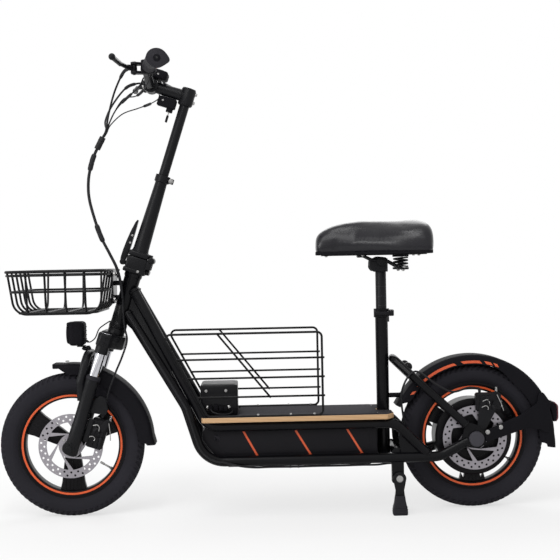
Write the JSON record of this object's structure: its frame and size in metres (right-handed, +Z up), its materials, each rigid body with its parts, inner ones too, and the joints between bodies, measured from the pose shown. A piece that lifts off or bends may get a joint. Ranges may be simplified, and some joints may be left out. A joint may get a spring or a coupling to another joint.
{
  "type": "electric scooter",
  "caption": "Folding electric scooter with a sprung saddle, a step-through deck over its battery, a wire front basket, a luggage cage, a fork with suspension and a rear hub motor",
  "frame": {"origin": "on the ground, in the middle of the overall length and width, with the stand down and the steering straight", "axes": "+Z up; -X forward, towards the front wheel; -Y is the rider's left, the side of the kickstand and of both brake discs"},
  "size_m": [1.405, 0.6123, 1.1193],
  "materials": {
    "frame_paint": "gloss black paint",
    "satin_paint": "satin black paint",
    "tyre_rubber": "matt rubber",
    "grip_rubber": "matt rubber",
    "wheel_enamel": "satin black enamel with an orange ring",
    "disc_steel": "ground",
    "zinc_steel": "zinc plated",
    "chrome_plate": "polished",
    "black_aluminium": "black anodised",
    "moulded_plastic": "moulded",
    "battery_plastic": "fine grained",
    "plywood": "lacquered edge",
    "grip_tape": "gritty",
    "saddle_leather": "grained",
    "coated_wire": "plastic coated",
    "cable_sheath": "smooth",
    "red_lens": "clear gloss"
  },
  "bodies": {
    "frame": {"head_tube": "frame_paint", "frame_side_left": "frame_paint", "frame_side_right": "frame_paint", "seat_tube": "frame_paint", "seat_stays": "frame_paint", "deck_board": "plywood", "grip_tape": "grip_tape", "battery_case": "battery_plastic", "battery_pack": "battery_plastic", "controller_box": "black_aluminium", "cage_left": "coated_wire", "cage_right": "coated_wire", "basket": "coated_wire", "rear_fender": "moulded_plastic", "tail_light": "red_lens", "rear_axle": "zinc_steel", "rear_caliper": "black_aluminium", "rear_brake_cable": "cable_sheath"},
    "fork_upper": {"fork_crown": "satin_paint", "stanchion_left": "chrome_plate", "stanchion_right": "chrome_plate", "fold_base": "satin_paint"},
    "stem_latch": {"fold_latch": "black_aluminium"},
    "fork_lower": {"fork_lowers": "satin_paint", "front_fender": "moulded_plastic", "headlight": "moulded_plastic", "front_caliper": "black_aluminium", "front_axle": "zinc_steel", "front_brake_cable": "cable_sheath", "headlight_wire": "cable_sheath"},
    "front_wheel": {"front_tyre": "tyre_rubber", "front_wheel": "wheel_enamel", "front_disc": "disc_steel"},
    "rear_wheel": {"rear_tyre": "tyre_rubber", "rear_wheel": "wheel_enamel", "rear_disc": "disc_steel"},
    "stem_lower": {"stem_lower": "satin_paint", "main_loom": "cable_sheath"},
    "stem_upper": {"stem_upper": "satin_paint", "handlebar": "satin_paint", "grip_left": "grip_rubber", "brake_perch_left": "black_aluminium", "brake_perch_right": "black_aluminium", "display": "moulded_plastic", "key_switch": "moulded_plastic", "cable_left": "cable_sheath", "cable_right": "cable_sheath"},
    "throttle": {"grip_right": "grip_rubber"},
    "lever_left": {"brake_lever_left": "black_aluminium"},
    "lever_right": {"brake_lever_right": "black_aluminium"},
    "horn": {"horn_button": "moulded_plastic"},
    "ignition_key": {"key": "zinc_steel"},
    "seat": {"seat_post": "satin_paint", "saddle_frame": "zinc_steel", "saddle_base": "moulded_plastic", "saddle_cushion": "saddle_leather", "saddle_spring_left": "chrome_plate", "saddle_spring_right": "chrome_plate"},
    "seat_clamp": {"seat_clamp_lever": "black_aluminium"},
    "stand": {"kickstand": "satin_paint"}
  },
  "joints": [
    {"name": "steering", "type": "hinge", "parent": "frame", "child": "fork_upper", "pos_m": [-0.3826, 0, 0.53936], "axis": [0.309, 0, 0.9511], "range_deg": [-45, 45], "deforming": ["main_loom", "front_brake_cable", "headlight_wire"]},
    {"name": "fork_travel", "type": "slide", "parent": "fork_upper", "child": "fork_lower", "axis": [0.309, 0, 0.9511], "range_m": [0, 0.015], "stiffness_N_per_m": 6000, "springref_m": -0.03, "deforming": ["front_brake_cable", "headlight_wire"]},
    {"name": "front_wheel_spin", "type": "hinge", "parent": "fork_lower", "child": "front_wheel", "pos_m": [-0.5225, 0, 0.18], "axis": [0, 1, 0], "continuous": true},
    {"name": "rear_wheel_spin", "type": "hinge", "parent": "frame", "child": "rear_wheel", "pos_m": [0.4845, 0, 0.18], "axis": [0, 1, 0], "continuous": true},
    {"name": "stem_fold", "type": "hinge", "parent": "fork_upper", "child": "stem_lower", "pos_m": [-0.3155, 0, 0.63585], "axis": [0, 1, 0], "range_deg": [0, 60], "deforming": ["main_loom"]},
    {"name": "fold_latch_swing", "type": "hinge", "parent": "fork_upper", "child": "stem_latch", "pos_m": [-0.3873, 0, 0.63657], "axis": [0, -1, 0], "range_deg": [0, 90]},
    {"name": "stem_height", "type": "slide", "parent": "stem_lower", "child": "stem_upper", "axis": [0.309, 0, 0.9511], "range_m": [-0.14, 0], "deforming": ["main_loom"]},
    {"name": "brake_left", "type": "hinge", "parent": "stem_upper", "child": "lever_left", "pos_m": [-0.335, -0.15, 1.098], "axis": [0, 0, 1], "range_deg": [0, 20], "stiffness_Nm_per_rad": 0.5, "springref_deg": -11.46},
    {"name": "brake_right", "type": "hinge", "parent": "stem_upper", "child": "lever_right", "pos_m": [-0.335, 0.15, 1.098], "axis": [0, 0, -1], "range_deg": [0, 20], "stiffness_Nm_per_rad": 0.5, "springref_deg": -11.46},
    {"name": "throttle_twist", "type": "hinge", "parent": "stem_upper", "child": "throttle", "pos_m": [-0.29699, 0.176, 1.09827], "axis": [0.1824, 0.9832, 0], "range_deg": [0, 70], "stiffness_Nm_per_rad": 0.2, "springref_deg": -17.19},
    {"name": "horn_press", "type": "slide", "parent": "stem_upper", "child": "horn", "axis": [-1, 0, 0], "range_m": [0, 0.002], "stiffness_N_per_m": 300, "springref_m": -0.001},
    {"name": "key_turn", "type": "hinge", "parent": "stem_upper", "child": "ignition_key", "pos_m": [-0.26473, 0, 1.00892], "axis": [0.309, 0, 0.9511], "range_deg": [0, 90]},
    {"name": "seat_height", "type": "slide", "parent": "frame", "child": "seat", "axis": [0, 0, 1], "range_m": [-0.085, 0.05]},
    {"name": "seat_clamp_swing", "type": "hinge", "parent": "frame", "child": "seat_clamp", "pos_m": [0.2859, -0.0185, 0.494], "axis": [0, 0, 1], "range_deg": [0, 150]},
    {"name": "stand_swing", "type": "hinge", "parent": "frame", "child": "stand", "pos_m": [0.29, -0.08, 0.0885], "axis": [0, -1, 0], "range_deg": [0, 95]}
  ]
}
